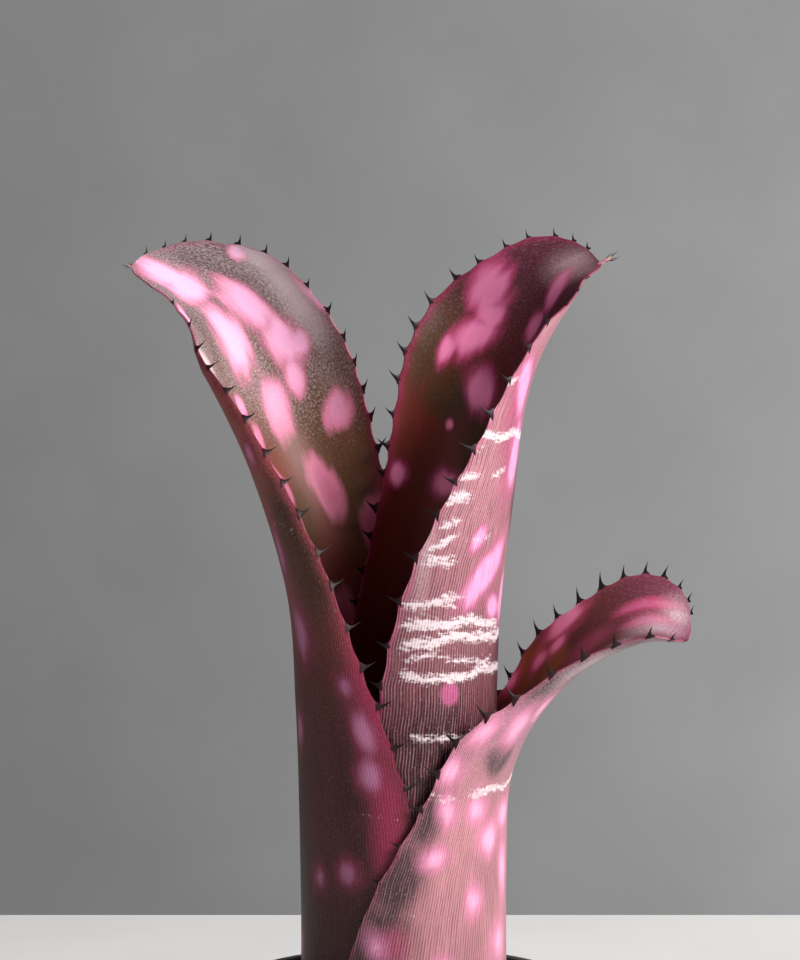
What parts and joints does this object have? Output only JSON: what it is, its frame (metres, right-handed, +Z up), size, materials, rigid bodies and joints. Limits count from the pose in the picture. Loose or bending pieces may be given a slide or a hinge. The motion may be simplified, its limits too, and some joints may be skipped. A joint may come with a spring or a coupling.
{
  "type": "potted tubular bromeliad",
  "caption": "Potted bromeliad with stiff spotted leaves rolled into an upright tube, hooked prickles along their margins, in a plain round nursery pot.",
  "frame": {"origin": "middle of the pot's flat underside, on its axis", "axes": "+Z up along the pot's axis; +X to the viewer's right, towards the low bent-over leaf; -Y towards the viewer"},
  "size_m": [0.168, 0.1, 0.3014],
  "materials": {
    "pot": "satin, nearly black moulded plastic",
    "potting_mix": "matt, crumbly bark and peat",
    "stem": "matt",
    "leaf_young": "satin",
    "leaf": "satin, stiff, with a fine pale scurf"
  },
  "bodies": {
    "root": {"pot": "pot", "potting_mix": "potting_mix", "stem_base": "stem", "leaf_young_heart": "leaf_young", "leaf_inner_right": "leaf", "leaf_left": "leaf", "leaf_outer_right": "leaf"}
  },
  "joints": []
}
